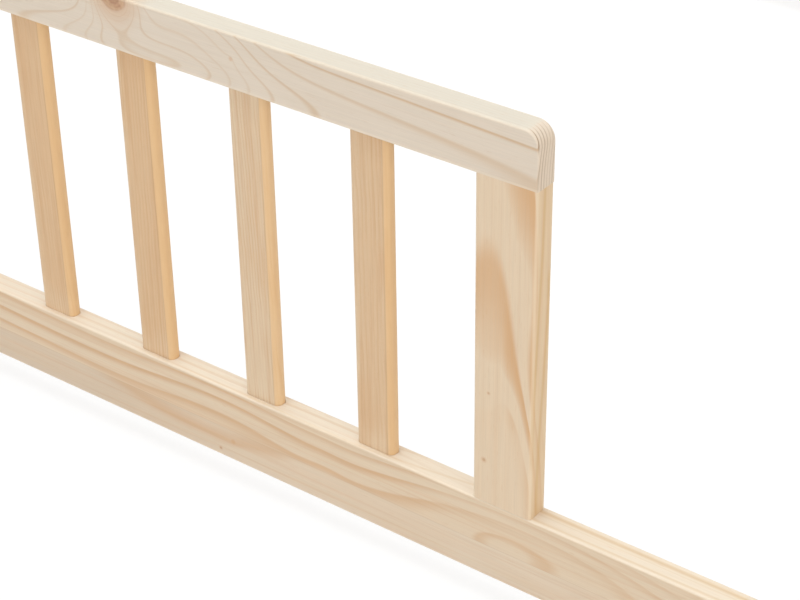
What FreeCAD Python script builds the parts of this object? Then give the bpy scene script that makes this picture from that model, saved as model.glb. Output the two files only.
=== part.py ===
# House bed: four posts, a slatted fence round a mattress that lies on the floor, and an open gable roof.
# The front fence is a guard that stops short of the foot post and leaves an entry over the bottom rail.
# Frame: +X runs from the head to the foot, +Y from the front to the rear, +Z up, in millimetres.
# The origin is on the floor, under the middle of the bed.
import FreeCAD, Part
import math
import os
from types import SimpleNamespace

import Sketcher
from FreeCAD import Placement, Rotation, Vector

SIZES = {
    # Mattress, and the room left round it between the posts
    "mattress_length": 1905,
    "mattress_width": 990,
    "mattress_clearance": 15,
    # Square timber of the posts, rafters and beams
    "post_size": 45,
    "post_round": 4,
    "foot_chamfer": 2,
    "ridge_height": 1560,
    "eave_height": 1005,
    # Rails of the fence
    "floor_clearance": 25,
    "rail_thickness": 20,
    "rail_round": 1.5,
    "bottom_rail_height": 68,
    "top_rail_height": 43,
    # Slats, and the mortises that house their ends
    "slat_opening": 268,
    "slat_width": 34,
    "slat_thickness": 11,
    "slat_round": 4.5,
    "slat_tenon": 12,
    "slat_play": 0.2,
    "slat_top_room": 0.5,
    # Guard beside the entry
    "guard_length": 1330,
    "guard_corner_radius": 13,
    "end_board_width": 50,
    "end_board_round": 3,
    "end_board_dowel_offset": 12,
    # Connector bolts
    "bolt_diameter": 6,
    "bolt_play": 0.25,
    "bolt_head_diameter": 15,
    "bolt_head_height": 2.5,
    "bolt_head_play": 0.5,
    "bolt_head_recess": 1.5,
    "bolt_end_reach": 2,
    "socket_width": 4,
    "socket_depth": 1.6,
    "bottom_rail_bolt_offset": 15,
    "top_rail_bolt_offset": 10,
    # Barrel nuts
    "nut_diameter": 10,
    "nut_length": 14,
    "nut_play": 0.1,
    "nut_thread_play": 0.1,
    "nut_inset": 35,
    "nut_slot_width": 1.6,
    "nut_slot_depth": 1.5,
    # Dowels
    "dowel_diameter": 8,
    "dowel_length": 40,
    "dowel_chamfer": 1,
    "dowel_play": 0.1,
    "dowel_post_depth": 15,
    "beam_dowel_offset": 13,
    # Depth left free behind the end of a bolt or a dowel, and reach of a cut past the timber
    "blind_end_room": 1,
    "cut_overrun": 6,
}

# Slats share out the clear length of their fence with equal gaps of 70 to 76 mm
FRONT_SLAT_COUNT = 11
REAR_SLAT_COUNT = 17
END_SLAT_COUNT = 9

HEXAGON_SIDES = 6


class Size:
    """A length or ratio: its number now, and the sheet formula that keeps it current."""

    def __init__(self, number, formula):
        self.number = number
        self.formula = formula

    def __add__(self, other):
        other = as_size(other)
        return Size(self.number + other.number, f"({self.formula} + {other.formula})")

    def __sub__(self, other):
        other = as_size(other)
        return Size(self.number - other.number, f"({self.formula} - {other.formula})")

    def __mul__(self, other):
        other = as_size(other)
        return Size(self.number * other.number, f"({self.formula} * {other.formula})")

    def __truediv__(self, other):
        other = as_size(other)
        return Size(self.number / other.number, f"({self.formula} / {other.formula})")

    def __neg__(self):
        return Size(-self.number, f"(-1 * {self.formula})")

    __rmul__ = __mul__


def as_size(value):
    return value if isinstance(value, Size) else Size(value, f"({value!r})")


def root(value):
    return Size(math.sqrt(value.number), f"sqrt({value.formula})")


def write_sheet():
    """Driving dimensions in a spreadsheet, handed back as sizes under the same names."""
    sheet = doc.addObject("Spreadsheet::Sheet", "sizes")
    for row, (name, number) in enumerate(SIZES.items(), start=1):
        sheet.set(f"A{row}", name)
        sheet.set(f"B{row}", str(number))
        sheet.setAlias(f"B{row}", name)
    doc.recompute()
    return SimpleNamespace(**{name: Size(sheet.get(name), f"sizes.{name}") for name in SIZES})


doc = FreeCAD.newDocument("house_bed")
size = write_sheet()
ZERO = Size(0, "0")

# Clear space between the posts, and the lines that the posts stand on
clear_length = size.mattress_length + 2 * size.mattress_clearance
clear_width = size.mattress_width + 2 * size.mattress_clearance
half_length = clear_length / 2
half_width = clear_width / 2
half_post = size.post_size / 2
post_line_x = half_length + half_post
post_line_y = half_width + half_post

# Roof lines: the rafters' upper faces run from the posts' outer faces at the eave up to the ridge.
# The depth of a rafter is measured plumb, so it grows with the slope.
roof_half = half_width + size.post_size
slope = (size.ridge_height - size.eave_height) / roof_half
rafter_depth = size.post_size * root(slope * slope + 1)
eave_axis = size.eave_height - half_post
ridge_axis = size.ridge_height - half_post * slope - half_post

# Heights of the fence
bottom_rail_top = size.floor_clearance + size.bottom_rail_height
top_rail_base = bottom_rail_top + size.slat_opening

# Hardware: hole sizes and depths that the bolts, nuts and dowels share with the timber
bolt_seat = size.bolt_head_recess + size.bolt_head_height
bolt_tip = size.nut_inset + size.nut_diameter / 2 + size.bolt_end_reach
bolt_length = size.post_size - bolt_seat + bolt_tip
bolt_hole = size.bolt_diameter + 2 * size.bolt_play
head_hole = size.bolt_head_diameter + 2 * size.bolt_head_play
nut_hole = size.nut_diameter + 2 * size.nut_play
dowel_hole = size.dowel_diameter + 2 * size.dowel_play
dowel_post_hole = size.dowel_post_depth + size.blind_end_room
dowel_rail_hole = size.dowel_length - size.dowel_post_depth + size.blind_end_room
dowel_board_hole = size.dowel_length / 2 + size.blind_end_room

# Height of a rail, and how far its bolt and its dowel lie from its middle. The bolts of the long rails
# lie above the middle and those of the end rails below it, so that they pass each other in the post.
RAIL_LEVELS = {
    "bottom": SimpleNamespace(
        base=size.floor_clearance, height=size.bottom_rail_height, offset=size.bottom_rail_bolt_offset
    ),
    "top": SimpleNamespace(
        base=top_rail_base, height=size.top_rail_height, offset=size.top_rail_bolt_offset
    ),
}
BOLT_SIDE = {"front": 1, "rear": 1, "head": -1, "foot": -1}

# Origin plane square to each axis, and the way its sketches face along that axis
PLANES = {"X": ("YZ_Plane", 1), "Y": ("XZ_Plane", -1), "Z": ("XY_Plane", 1)}


# Sketches and features

def new_body(label):
    body = doc.addObject("PartDesign::Body", label)
    body.Label = label
    return body


def new_sketch(body, axis, position=ZERO):
    """Sketch square to an axis, at a position along it."""
    role, facing = PLANES[axis]
    sketch = body.newObject("Sketcher::SketchObject", "outline")
    plane = next(feature for feature in body.Origin.OriginFeatures if feature.Role == role)
    sketch.AttachmentSupport = [(plane, "")]
    sketch.MapMode = "FlatFace"
    sketch.setExpression("AttachmentOffset.Base.z", (facing * position).formula)
    return sketch


def hold(sketch, kind, where, value):
    index = sketch.addConstraint(Sketcher.Constraint(kind, *where, value.number))
    sketch.setExpression(f"Constraints[{index}]", value.formula)


def hold_point(sketch, point, across, up):
    hold(sketch, "DistanceX", (-1, 1, *point), across)
    hold(sketch, "DistanceY", (-1, 1, *point), up)


def draw_circle(sketch, across, up, diameter):
    centre = Vector(across.number, up.number, 0)
    circle = Part.Circle(centre, Vector(0, 0, 1), diameter.number / 2)
    index = sketch.addGeometry(circle, False)
    hold_point(sketch, (index, 3), across, up)
    hold(sketch, "Diameter", (index,), diameter)


def draw_polygon(sketch, corners):
    points = [Vector(across.number, up.number, 0) for across, up in corners]
    count = len(points)
    for start in range(count):
        sketch.addGeometry(Part.LineSegment(points[start], points[(start + 1) % count]), False)
    for start, (across, up) in enumerate(corners):
        sketch.addConstraint(Sketcher.Constraint("Coincident", (start - 1) % count, 2, start, 1))
        hold_point(sketch, (start, 1), across, up)


def draw_rounded_rectangle(sketch, middle, width, height, radius):
    """Rectangle with four equal round corners: the arcs' centres and their radius hold everything."""
    across, up = middle
    reach_across = width / 2 - radius
    reach_up = height / 2 - radius
    quarter = math.pi / 2
    centres = []
    for turn, (side_across, side_up) in enumerate(((1, 1), (-1, 1), (-1, -1), (1, -1))):
        centre = (across + side_across * reach_across, up + side_up * reach_up)
        circle = Part.Circle(Vector(centre[0].number, centre[1].number, 0), Vector(0, 0, 1), radius.number)
        sketch.addGeometry(Part.ArcOfCircle(circle, turn * quarter, (turn + 1) * quarter), False)
        centres.append(centre)
    arcs = range(len(centres))
    for arc in arcs:
        following = (arc + 1) % len(centres)
        start = sketch.Geometry[arc].EndPoint
        end = sketch.Geometry[following].StartPoint
        line = sketch.addGeometry(Part.LineSegment(start, end), False)
        sketch.addConstraint(Sketcher.Constraint("Tangent", arc, 2, line, 1))
        sketch.addConstraint(Sketcher.Constraint("Tangent", line, 2, following, 1))
    for arc in arcs:
        hold_point(sketch, (arc, 3), *centres[arc])
    for arc in arcs[1:]:
        sketch.addConstraint(Sketcher.Constraint("Equal", 0, arc))
    hold(sketch, "Radius", (0,), radius)


def pad(body, sketch, length, backwards=False):
    feature = body.newObject("PartDesign::Pad", "stock")
    feature.Profile = sketch
    feature.Reversed = backwards
    feature.setExpression("Length", length.formula)
    return feature


def cut(body, axis, sketch, way, depth):
    """Pocket from the sketch's plane, towards plus or minus along its axis."""
    facing = PLANES[axis][1]
    feature = body.newObject("PartDesign::Pocket", "cut")
    feature.Profile = sketch
    feature.Reversed = way == facing
    feature.setExpression("Length", depth.formula)
    return feature


def drill(body, axis, position, way, holes, diameter, depth):
    """Round holes of one size and depth that enter at a position on an axis."""
    sketch = new_sketch(body, axis, position)
    for across, up in holes:
        draw_circle(sketch, across, up, diameter)
    cut(body, axis, sketch, way, depth)


def dress_edges(body, kind, base, wanted, dimension, value):
    """Fillet or chamfer on the edges of a feature that the test picks out."""
    doc.recompute()
    names = [f"Edge{index}" for index, edge in enumerate(base.Shape.Edges, start=1) if wanted(edge)]
    feature = body.newObject(f"PartDesign::{kind}", "edges")
    feature.Base = (base, names)
    feature.setExpression(dimension, value.formula)


def place(piece, where, rotation=Rotation()):
    piece.Placement = Placement(Vector(*(part.number for part in where)), rotation)
    for axis, part in zip("xyz", where):
        piece.setExpression(f"Placement.Base.{axis}", part.formula)


def group(label, members):
    compound = doc.addObject("Part::Compound", label)
    compound.Label = label
    compound.Links = members
    return compound


# Posts

def make_post(label, inward_x, inward_y, has_top_rail):
    """Corner post. It stands on its own axis, with the bed towards inward_x and inward_y."""
    body = new_body(label)
    across = new_sketch(body, "Z")
    draw_rounded_rectangle(across, (ZERO, ZERO), size.post_size, size.post_size, size.post_round)
    tongue_top = size.eave_height + size.post_size * slope
    stock = pad(body, across, tongue_top)
    dress_edges(body, "Chamfer", stock, lambda edge: edge.BoundBox.ZMax <= 0, "Size", size.foot_chamfer)

    # Half-lap: the tongue is the half next to the bed, cut to the rafter's upper and lower faces
    before = -half_post - size.cut_overrun
    behind = half_post + size.cut_overrun
    rise_before = size.cut_overrun * slope
    high = tongue_top + rise_before
    low = size.eave_height - rise_before
    shape = new_sketch(body, "X", -half_post - size.cut_overrun)
    draw_polygon(shape, [(inward_y * before, low), (inward_y * behind, high), (inward_y * before, high)])
    cut(body, "X", shape, 1, size.post_size + 2 * size.cut_overrun)
    lap = new_sketch(body, "X")
    draw_polygon(lap, [
        (inward_y * before, low - rafter_depth),
        (inward_y * behind, high - rafter_depth),
        (inward_y * behind, high),
        (inward_y * before, high),
    ])
    cut(body, "X", lap, -inward_x, half_post + size.cut_overrun)

    long_levels = [RAIL_LEVELS["bottom"]]
    if has_top_rail:
        long_levels.append(RAIL_LEVELS["top"])
    end_levels = list(RAIL_LEVELS.values())
    sides = (
        ("X", inward_x, BOLT_SIDE["front"], long_levels),
        ("Y", inward_y, BOLT_SIDE["head"], end_levels),
    )
    for axis, inward, side, levels in sides:
        middles = [(level.base + level.height / 2, level.offset) for level in levels]
        bolts = [(ZERO, middle + side * offset) for middle, offset in middles]
        dowels = [(ZERO, middle - side * offset) for middle, offset in middles]
        roof_bolts = []
        if axis == "X":
            roof_bolts.append((ZERO, eave_axis))
            dowels.append((ZERO, eave_axis + size.beam_dowel_offset))
        outer = -inward * half_post
        through = size.post_size + size.cut_overrun
        drill(body, axis, outer, inward, bolts + roof_bolts, bolt_hole, through)
        drill(body, axis, outer, inward, bolts, head_hole, bolt_seat)
        drill(body, axis, -outer, -inward, dowels, dowel_hole, dowel_post_hole)
    place(body, (-inward_x * post_line_x, -inward_y * post_line_y, ZERO))
    return body


# Roof

def make_rafter(label, front, gable, tongue_outside):
    """Rafter of the head gable, on the front or the rear side. The foot gable is the same turned round.

    The foot is half-lapped over the post with its outer half. At the ridge the two rafters of a gable
    are half-lapped too: one keeps its outer half there, the other its inner half.
    """
    body = new_body(label)
    side = 1 if front else -1
    run = rafter_depth / 2 / slope
    overrun = size.cut_overrun
    outline = new_sketch(body, "X", -half_post)
    draw_polygon(outline, [
        (-side * roof_half, size.eave_height),
        (ZERO, size.ridge_height),
        (side * run, size.ridge_height - rafter_depth / 2),
        (-side * roof_half, size.eave_height - rafter_depth),
    ])
    stock = pad(body, outline, size.post_size)

    def runs_along(edge):
        way = edge.tangentAt(edge.FirstParameter)
        rising = abs(way.z) > Part.Precision.confusion() and way.y * way.z * side > 0
        return rising and edge.Length > (2 * size.post_size).number

    dress_edges(body, "Fillet", stock, runs_along, "Radius", size.post_round)

    foot = new_sketch(body, "X")
    foot_low = size.eave_height - rafter_depth - overrun
    foot_high = size.eave_height + size.post_size * slope + overrun
    post_inner = -side * half_width
    post_outer = -side * (roof_half + overrun)
    draw_polygon(foot, [
        (post_outer, foot_low), (post_inner, foot_low), (post_inner, foot_high), (post_outer, foot_high)
    ])
    cut(body, "X", foot, 1, half_post + overrun)

    # The ridge lap lies above the lower face of the opposite rafter
    lap = new_sketch(body, "X")
    middle = size.ridge_height - rafter_depth / 2
    draw_polygon(lap, [
        (-side * (run + overrun), middle + overrun * slope),
        (side * overrun, size.ridge_height - rafter_depth - overrun * slope),
        (side * (run + 2 * overrun), middle),
        (ZERO, size.ridge_height + 2 * overrun * slope),
    ])
    cut(body, "X", lap, 1 if tongue_outside else -1, half_post + overrun)

    eave_bolt = (-side * post_line_y, eave_axis)
    ridge_bolt = (ZERO, ridge_axis)
    drill(body, "X", -half_post, 1, [eave_bolt, ridge_bolt], bolt_hole, size.post_size + overrun)
    seats = [eave_bolt]
    if tongue_outside:
        seats.append(ridge_bolt)
    drill(body, "X", -half_post, 1, seats, head_hole, bolt_seat)
    if not tongue_outside:
        dowel = (ZERO, ridge_axis + size.beam_dowel_offset)
        drill(body, "X", half_post, -1, [dowel], dowel_hole, dowel_post_hole)

    at_head = gable == "head"
    turned = Rotation() if at_head else Rotation(Vector(0, 0, 1), 180)
    place(body, (-post_line_x if at_head else post_line_x, ZERO, ZERO), turned)
    return body


def make_beam(label, across, axis_height, turn=0):
    """Square beam between the gables, bolted through the half-laps into its ends."""
    body = new_body(label)
    section = new_sketch(body, "X")
    draw_rounded_rectangle(section, (ZERO, half_post), size.post_size, size.post_size, size.post_round)
    pad(body, section, clear_length)
    join_ends(body, clear_length, half_post, half_post + size.beam_dowel_offset, half_post)
    start = half_length if turn else -half_length
    place(body, (start, across, axis_height - half_post), Rotation(Vector(0, 0, 1), turn))
    return body


# Fence

def make_fences():
    """The four fences: where each starts, which way it runs, its length and its row of slats.

    Seen from outside, a fence runs from its left post to its right post, with the bed behind it.
    """
    guard_clear = size.guard_length - size.end_board_width
    return {
        "front": SimpleNamespace(
            start=(-half_length, -post_line_y), along=(1, 0), turn=0, length=clear_length,
            row=slat_row(guard_clear, FRONT_SLAT_COUNT),
        ),
        "rear": SimpleNamespace(
            start=(half_length, post_line_y), along=(-1, 0), turn=180, length=clear_length,
            row=slat_row(clear_length, REAR_SLAT_COUNT),
        ),
        "head": SimpleNamespace(
            start=(-post_line_x, half_width), along=(0, -1), turn=-90, length=clear_width,
            row=slat_row(clear_width, END_SLAT_COUNT),
        ),
        "foot": SimpleNamespace(
            start=(post_line_x, -half_width), along=(0, 1), turn=90, length=clear_width,
            row=slat_row(clear_width, END_SLAT_COUNT),
        ),
    }


def slat_row(clear, count):
    """Row of slats with the same gap between them and at both ends."""
    gap = (clear - count * size.slat_width) / (count + 1)
    return SimpleNamespace(count=count, first=gap + size.slat_width / 2, pitch=gap + size.slat_width)


def place_in_fence(piece, fence, distance, height):
    start_x, start_y = fence.start
    along_x, along_y = fence.along
    where = (start_x + along_x * distance, start_y + along_y * distance, height)
    place(piece, where, Rotation(Vector(0, 0, 1), fence.turn))


def join_ends(body, length, bolt_height, dowel_height, half_thickness, both_ends=True):
    """Holes for the bolt, barrel nut and dowel at the ends of a rail or beam."""
    ends = [(ZERO, 1, size.nut_inset)]
    if both_ends:
        ends.append((length, -1, length - size.nut_inset))
    for position, way, _ in ends:
        drill(body, "X", position, way, [(ZERO, bolt_height)], bolt_hole, bolt_tip + size.blind_end_room)
        drill(body, "X", position, way, [(ZERO, dowel_height)], dowel_hole, dowel_rail_hole)
    nuts = [(nut, bolt_height) for _, _, nut in ends]
    drill(body, "Y", half_thickness, -1, nuts, nut_hole, half_thickness + size.nut_length / 2)


def cut_mortises(body, face, way, depth, row):
    sketch = new_sketch(body, "Z", face)
    width = size.slat_width + 2 * size.slat_play
    thickness = size.slat_thickness + 2 * size.slat_play
    draw_rounded_rectangle(sketch, (row.first, ZERO), width, thickness, size.slat_round + size.slat_play)
    mortise = cut(body, "Z", sketch, way, depth)
    pattern = body.newObject("PartDesign::LinearPattern", "slat_row")
    pattern.Originals = [mortise]
    pattern.Direction = (sketch, ["H_Axis"])
    pattern.Mode = "Spacing"
    pattern.Occurrences = row.count
    pattern.setExpression("Offset", row.pitch.formula)
    body.Tip = pattern


def end_board_dowels():
    middle = size.guard_length - size.end_board_width / 2
    return [middle - size.end_board_dowel_offset, middle + size.end_board_dowel_offset]


def make_guard_stock(body):
    """Top rail of the guard: its free end and its edges are rounded over.

    The edges at the post and the lower ones, which meet the end board flush, stay square.
    """
    outline = new_sketch(body, "Y", size.rail_thickness / 2)
    length, height, radius = size.guard_length, size.top_rail_height, size.guard_corner_radius
    middle = (length - radius, height - radius)
    round_corner = Part.Circle(Vector(middle[0].number, middle[1].number, 0), Vector(0, 0, 1), radius.number)
    corner_arc = Part.ArcOfCircle(round_corner, 0, math.pi / 2)
    low_post, low_end = Vector(0, 0, 0), Vector(length.number, 0, 0)
    high_post = Vector(0, height.number, 0)
    lower = outline.addGeometry(Part.LineSegment(low_post, low_end), False)
    free_end = outline.addGeometry(Part.LineSegment(low_end, corner_arc.StartPoint), False)
    corner = outline.addGeometry(corner_arc, False)
    upper = outline.addGeometry(Part.LineSegment(corner_arc.EndPoint, high_post), False)
    post_end = outline.addGeometry(Part.LineSegment(high_post, low_post), False)
    for first, second in ((lower, free_end), (upper, post_end), (post_end, lower)):
        outline.addConstraint(Sketcher.Constraint("Coincident", first, 2, second, 1))
    for first, second in ((free_end, corner), (corner, upper)):
        outline.addConstraint(Sketcher.Constraint("Tangent", first, 2, second, 1))
    hold_point(outline, (lower, 1), ZERO, ZERO)
    hold_point(outline, (free_end, 1), length, ZERO)
    hold_point(outline, (post_end, 1), ZERO, height)
    hold_point(outline, (corner, 3), *middle)
    stock = pad(body, outline, size.rail_thickness)

    def shows(edge):
        box, nothing = edge.BoundBox, Part.Precision.confusion()
        return box.YLength < nothing and box.XMax > nothing and box.ZMax > nothing

    dress_edges(body, "Fillet", stock, shows, "Radius", size.rail_round)


def make_rail(side, level_name, fence):
    level = RAIL_LEVELS[level_name]
    body = new_body(f"{side}_{level_name}_rail")
    stops_short = side == "front" and level_name == "top"
    half_thickness = size.rail_thickness / 2
    if stops_short:
        make_guard_stock(body)
    else:
        section = new_sketch(body, "X")
        middle = (ZERO, level.height / 2)
        draw_rounded_rectangle(section, middle, size.rail_thickness, level.height, size.rail_round)
        pad(body, section, fence.length)
    offset = BOLT_SIDE[side] * level.offset
    half_height = level.height / 2
    bolt_height = half_height + offset
    dowel_height = half_height - offset
    join_ends(body, fence.length, bolt_height, dowel_height, half_thickness, not stops_short)
    if level_name == "bottom":
        face, way, depth = level.height, -1, size.slat_tenon
    else:
        face, way, depth = ZERO, 1, size.slat_tenon + size.slat_top_room
    if side == "front":
        holes = [(across, ZERO) for across in end_board_dowels()]
        drill(body, "Z", face, way, holes, dowel_hole, dowel_board_hole)
    cut_mortises(body, face, way, depth, fence.row)
    place_in_fence(body, fence, ZERO, level.base)
    return body


def make_slat(label, fence, distance):
    body = new_body(label)
    section = new_sketch(body, "Z")
    draw_rounded_rectangle(section, (ZERO, ZERO), size.slat_width, size.slat_thickness, size.slat_round)
    pad(body, section, size.slat_opening + 2 * size.slat_tenon)
    place_in_fence(body, fence, distance, bottom_rail_top - size.slat_tenon)
    return body


def make_end_board(fence):
    body = new_body("front_end_board")
    section = new_sketch(body, "Z")
    width, thickness = size.end_board_width, size.rail_thickness
    draw_rounded_rectangle(section, (ZERO, ZERO), width, thickness, size.end_board_round)
    pad(body, section, size.slat_opening)
    holes = [(side * size.end_board_dowel_offset, ZERO) for side in (-1, 1)]
    drill(body, "Z", ZERO, 1, holes, dowel_hole, dowel_board_hole)
    drill(body, "Z", size.slat_opening, -1, holes, dowel_hole, dowel_board_hole)
    place_in_fence(body, fence, size.guard_length - size.end_board_width / 2, bottom_rail_top)
    return body


# Hardware

def make_bolt():
    """Connector bolt along +Z, with the underside of its flat head at the origin."""
    body = new_body("connector_bolt")
    head = new_sketch(body, "Z")
    draw_circle(head, ZERO, ZERO, size.bolt_head_diameter)
    pad(body, head, size.bolt_head_height, backwards=True)
    shank = new_sketch(body, "Z")
    draw_circle(shank, ZERO, ZERO, size.bolt_diameter)
    pad(body, shank, bolt_length)
    socket = new_sketch(body, "Z", -size.bolt_head_height)
    corner_reach = size.socket_width / 2 / math.cos(math.pi / HEXAGON_SIDES)
    angles = [2 * math.pi * corner / HEXAGON_SIDES for corner in range(HEXAGON_SIDES)]
    corners = [(corner_reach * math.cos(angle), corner_reach * math.sin(angle)) for angle in angles]
    draw_polygon(socket, corners)
    cut(body, "Z", socket, 1, size.socket_depth)
    return body


def make_barrel_nut():
    """Cross nut on the Z axis, threaded along X, with a slot across its upper end."""
    body = new_body("barrel_nut")
    half = size.nut_length / 2
    section = new_sketch(body, "Z", -half)
    draw_circle(section, ZERO, ZERO, size.nut_diameter)
    pad(body, section, size.nut_length)
    reach = size.nut_diameter / 2 + size.cut_overrun
    thread = size.bolt_diameter + 2 * size.nut_thread_play
    drill(body, "X", -reach, 1, [(ZERO, ZERO)], thread, 2 * reach)
    slot = new_sketch(body, "Z", half)
    edge = size.nut_slot_width / 2
    draw_polygon(slot, [(-reach, -edge), (reach, -edge), (reach, edge), (-reach, edge)])
    cut(body, "Z", slot, -1, size.nut_slot_depth)
    return body


def make_dowel():
    """Dowel along +Z from the origin."""
    body = new_body("dowel")
    section = new_sketch(body, "Z")
    draw_circle(section, ZERO, ZERO, size.dowel_diameter)
    stock = pad(body, section, size.dowel_length)
    dress_edges(body, "Chamfer", stock, lambda edge: edge.BoundBox.ZLength < Part.Precision.confusion(),
                "Size", size.dowel_chamfer)
    return body


def put(master, where, rotation):
    copy = doc.addObject("App::Link", f"{master.Label}_copy")
    copy.LinkedObject = master
    place(copy, where, rotation)
    return copy


def make_joint(axis, side, face, across, heights, inward, masters):
    """Bolt, nut and dowel of one joint, on the axis that runs through the post at its plus or minus end."""
    bolt_height, dowel_height = heights
    way = Vector(-side, 0, 0) if axis == "X" else Vector(0, -side, 0)
    along = Rotation(Vector(0, 0, 1), way)
    crosswise = Rotation(way, inward.cross(way), inward, "ZXY")

    def at(distance, height):
        here = side * distance
        return (here, across, height) if axis == "X" else (across, here, height)

    bolt = put(masters.bolt, at(face + size.post_size - bolt_seat, bolt_height), along)
    nut = put(masters.nut, at(face - size.nut_inset, bolt_height), crosswise)
    dowel = put(masters.dowel, at(face + size.dowel_post_depth, dowel_height), along)
    return bolt, nut, dowel


def make_rail_joints(masters):
    joints = []
    for side_name, fence in fences.items():
        axis = "X" if fence.along[0] else "Y"
        face = fence.length / 2
        across = fence.start[1] if axis == "X" else fence.start[0]
        inward = Rotation(Vector(0, 0, 1), fence.turn).multVec(Vector(0, 1, 0))
        for level_name, level in RAIL_LEVELS.items():
            middle = level.base + level.height / 2
            offset = BOLT_SIDE[side_name] * level.offset
            ends = [-1] if (side_name, level_name) == ("front", "top") else [-1, 1]
            for end in ends:
                heights = (middle + offset, middle - offset)
                joints.append(make_joint(axis, end, face, across, heights, inward, masters))
    return joints


def make_roof_joints(masters):
    joints = []
    beams = (
        (-post_line_y, eave_axis, Vector(0, 1, 0)),
        (post_line_y, eave_axis, Vector(0, -1, 0)),
        (ZERO, ridge_axis, Vector(0, 1, 0)),
    )
    for across, height, inward in beams:
        for end in (-1, 1):
            heights = (height, height + size.beam_dowel_offset)
            joints.append(make_joint("X", end, half_length, across, heights, inward, masters))
    return joints


def make_board_dowels(masters):
    dowels = []
    for distance in end_board_dowels():
        for joint in (bottom_rail_top, top_rail_base):
            where = (distance - half_length, -post_line_y, joint - size.dowel_length / 2)
            dowels.append(put(masters.dowel, where, Rotation()))
    return dowels


# Assembly

pieces = [
    make_post("post_front_head", 1, 1, True),
    make_post("post_front_foot", -1, 1, False),
    make_post("post_rear_head", 1, -1, True),
    make_post("post_rear_foot", -1, -1, True),
    make_rafter("rafter_front_head", True, "head", True),
    make_rafter("rafter_rear_head", False, "head", False),
    make_rafter("rafter_rear_foot", True, "foot", True),
    make_rafter("rafter_front_foot", False, "foot", False),
    make_beam("ridge_beam", ZERO, ridge_axis),
    make_beam("eave_beam_front", -post_line_y, eave_axis),
    make_beam("eave_beam_rear", post_line_y, eave_axis, turn=180),
]

fences = make_fences()
for side_name, fence in fences.items():
    row = fence.row
    for level_name in RAIL_LEVELS:
        pieces.append(make_rail(side_name, level_name, fence))
    named_alone = side_name in ("front", "rear")
    label = f"{side_name}_slat" if named_alone else f"{side_name}_end_slat"
    slats = [
        make_slat(f"{label}_{number + 1:02d}", fence, row.first + number * row.pitch)
        for number in range(row.count)
    ]
    pieces += slats if named_alone else [group(f"{side_name}_slats", slats)]
pieces.append(make_end_board(fences["front"]))

masters = SimpleNamespace(bolt=make_bolt(), nut=make_barrel_nut(), dowel=make_dowel())
rail_joints = make_rail_joints(masters)
roof_joints = make_roof_joints(masters)
pieces += [
    group("rail_bolts", [bolt for bolt, _, _ in rail_joints]),
    group("roof_bolts", [bolt for bolt, _, _ in roof_joints]),
    group("barrel_nuts", [nut for _, nut, _ in rail_joints + roof_joints]),
    group("rail_dowels", [dowel for _, _, dowel in rail_joints]),
    group("beam_dowels", [dowel for _, _, dowel in roof_joints]),
    group("end_board_dowels", make_board_dowels(masters)),
]

# Checks before anything is written: no failed object, no cut that removes nothing, no bad shape
doc.recompute()
for item in doc.Objects:
    if {"Invalid", "Error"} & set(item.State):
        raise RuntimeError(f"{item.Label} failed: {item.State}")
    if item.TypeId == "PartDesign::Pocket" and item.Shape.Volume >= item.BaseFeature.Shape.Volume:
        raise RuntimeError(f"{item.Label} of {item.getParentGeoFeatureGroup().Label} removes nothing")
for piece in pieces:
    if piece.Shape.isNull() or not piece.Shape.isValid():
        raise RuntimeError(f"{piece.Label} has no valid shape")

os.makedirs("parts", exist_ok=True)
for piece in pieces:
    piece.Shape.exportStep(f"parts/{piece.Label}.step")
    print(piece.Label, len(piece.Shape.Solids), "solids", round(piece.Shape.Volume), "mm3")
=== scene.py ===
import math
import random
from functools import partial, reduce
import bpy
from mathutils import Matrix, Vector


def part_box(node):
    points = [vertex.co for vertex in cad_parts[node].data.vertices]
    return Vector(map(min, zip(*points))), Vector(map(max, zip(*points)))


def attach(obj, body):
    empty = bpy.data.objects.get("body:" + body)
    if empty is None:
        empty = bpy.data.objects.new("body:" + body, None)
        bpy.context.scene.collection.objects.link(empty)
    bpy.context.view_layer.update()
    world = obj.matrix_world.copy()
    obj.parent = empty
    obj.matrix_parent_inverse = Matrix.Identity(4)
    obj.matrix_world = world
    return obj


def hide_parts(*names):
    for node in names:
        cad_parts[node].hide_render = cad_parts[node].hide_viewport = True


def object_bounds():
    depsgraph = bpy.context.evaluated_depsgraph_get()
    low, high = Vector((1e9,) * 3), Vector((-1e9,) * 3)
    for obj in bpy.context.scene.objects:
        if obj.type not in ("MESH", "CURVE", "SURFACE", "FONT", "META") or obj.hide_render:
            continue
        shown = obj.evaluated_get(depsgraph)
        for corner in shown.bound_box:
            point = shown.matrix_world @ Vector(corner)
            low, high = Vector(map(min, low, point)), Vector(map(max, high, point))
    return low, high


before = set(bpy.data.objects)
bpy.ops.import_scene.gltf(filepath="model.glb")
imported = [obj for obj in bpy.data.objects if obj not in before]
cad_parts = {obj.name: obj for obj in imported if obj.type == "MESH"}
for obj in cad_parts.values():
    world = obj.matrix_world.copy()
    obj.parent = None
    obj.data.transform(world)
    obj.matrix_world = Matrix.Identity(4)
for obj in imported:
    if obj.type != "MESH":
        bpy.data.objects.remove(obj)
cad_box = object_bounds()

# %% [markdown]
# # A house bed of bare pine
# The bed is a frame of square posts and rafters with a slatted fence round the mattress. The CAD model has
# already settled every size, so this lesson is about looks: light, wood, and the small repeated parts.
# Every object below is in metres, in the frame of the CAD model, with its place in its mesh. The tools come
# first: they add and link nodes. A socket knows its node tree, so sums of sockets need not name the tree.

# %% Tools for the whole lesson
from types import SimpleNamespace

import bpy
from mathutils import Matrix, Vector

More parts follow.
